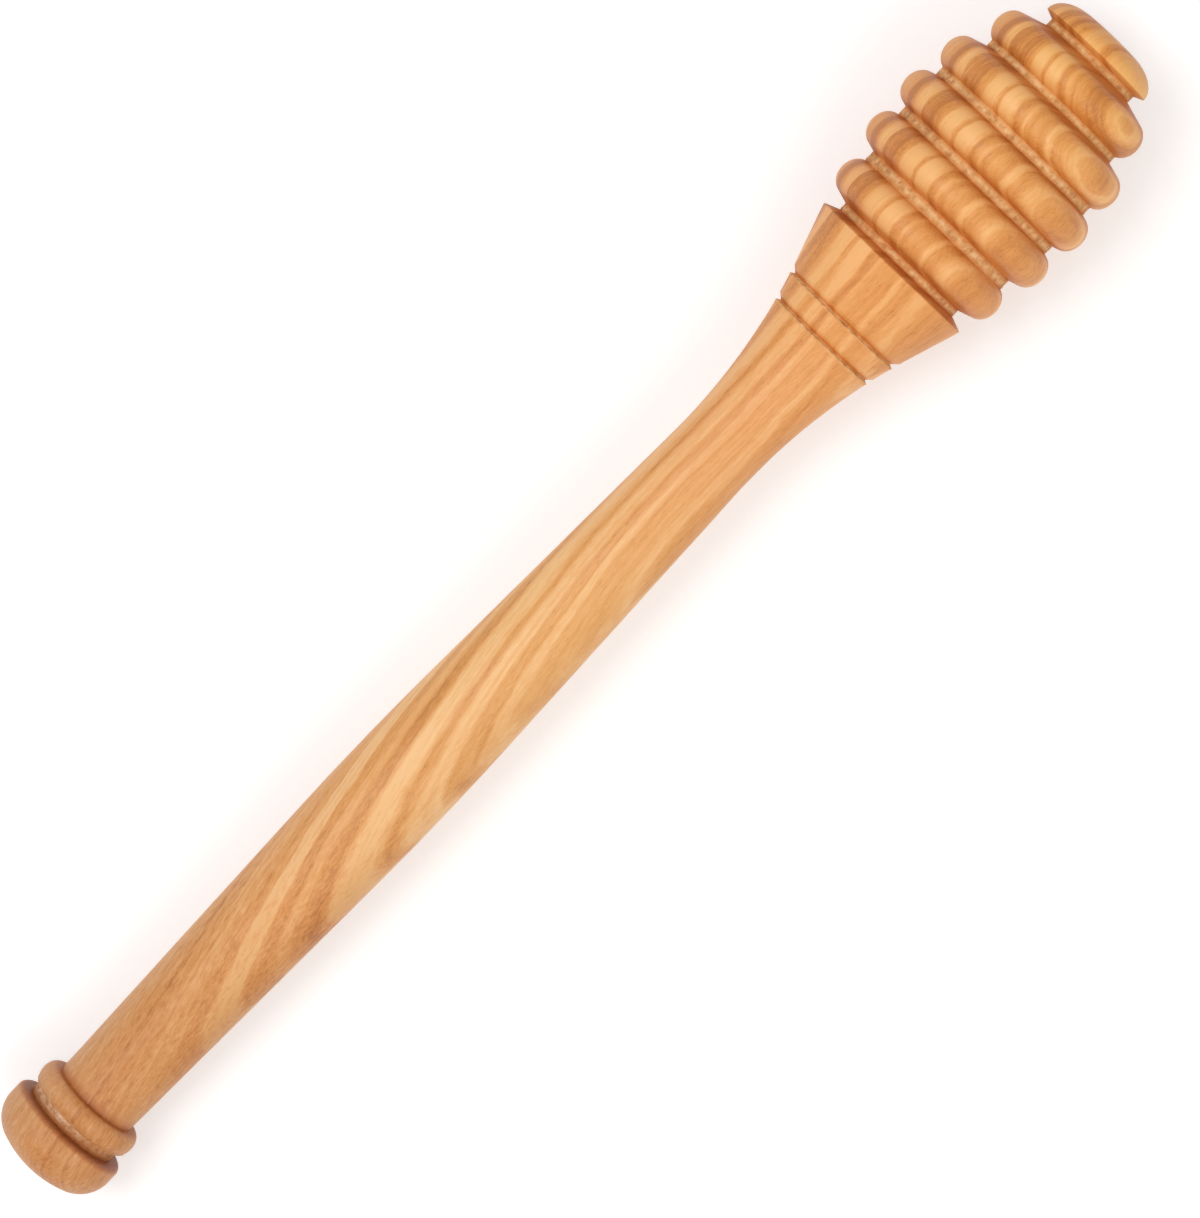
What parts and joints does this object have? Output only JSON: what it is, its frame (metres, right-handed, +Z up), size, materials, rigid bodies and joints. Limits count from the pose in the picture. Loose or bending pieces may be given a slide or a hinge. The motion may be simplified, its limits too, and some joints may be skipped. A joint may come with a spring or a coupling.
{
  "type": "honey dipper",
  "caption": "Hand-turned olive-wood honey dipper: grooved round head with a flared collar, slim swelling handle and a knobbed end.",
  "frame": {"origin": "centre of the footprint, on the surface that the dipper lies on", "axes": "+X along the dipper's length, from the knob towards the head; +Z up, away from the surface; the turning axis lies in the XZ plane and rises about 2.2 degrees towards the head"},
  "size_m": [0.1646, 0.025, 0.0251],
  "materials": {
    "olive_wood": "oiled satin"
  },
  "bodies": {
    "root": {"dipper": "olive_wood"}
  },
  "joints": []
}
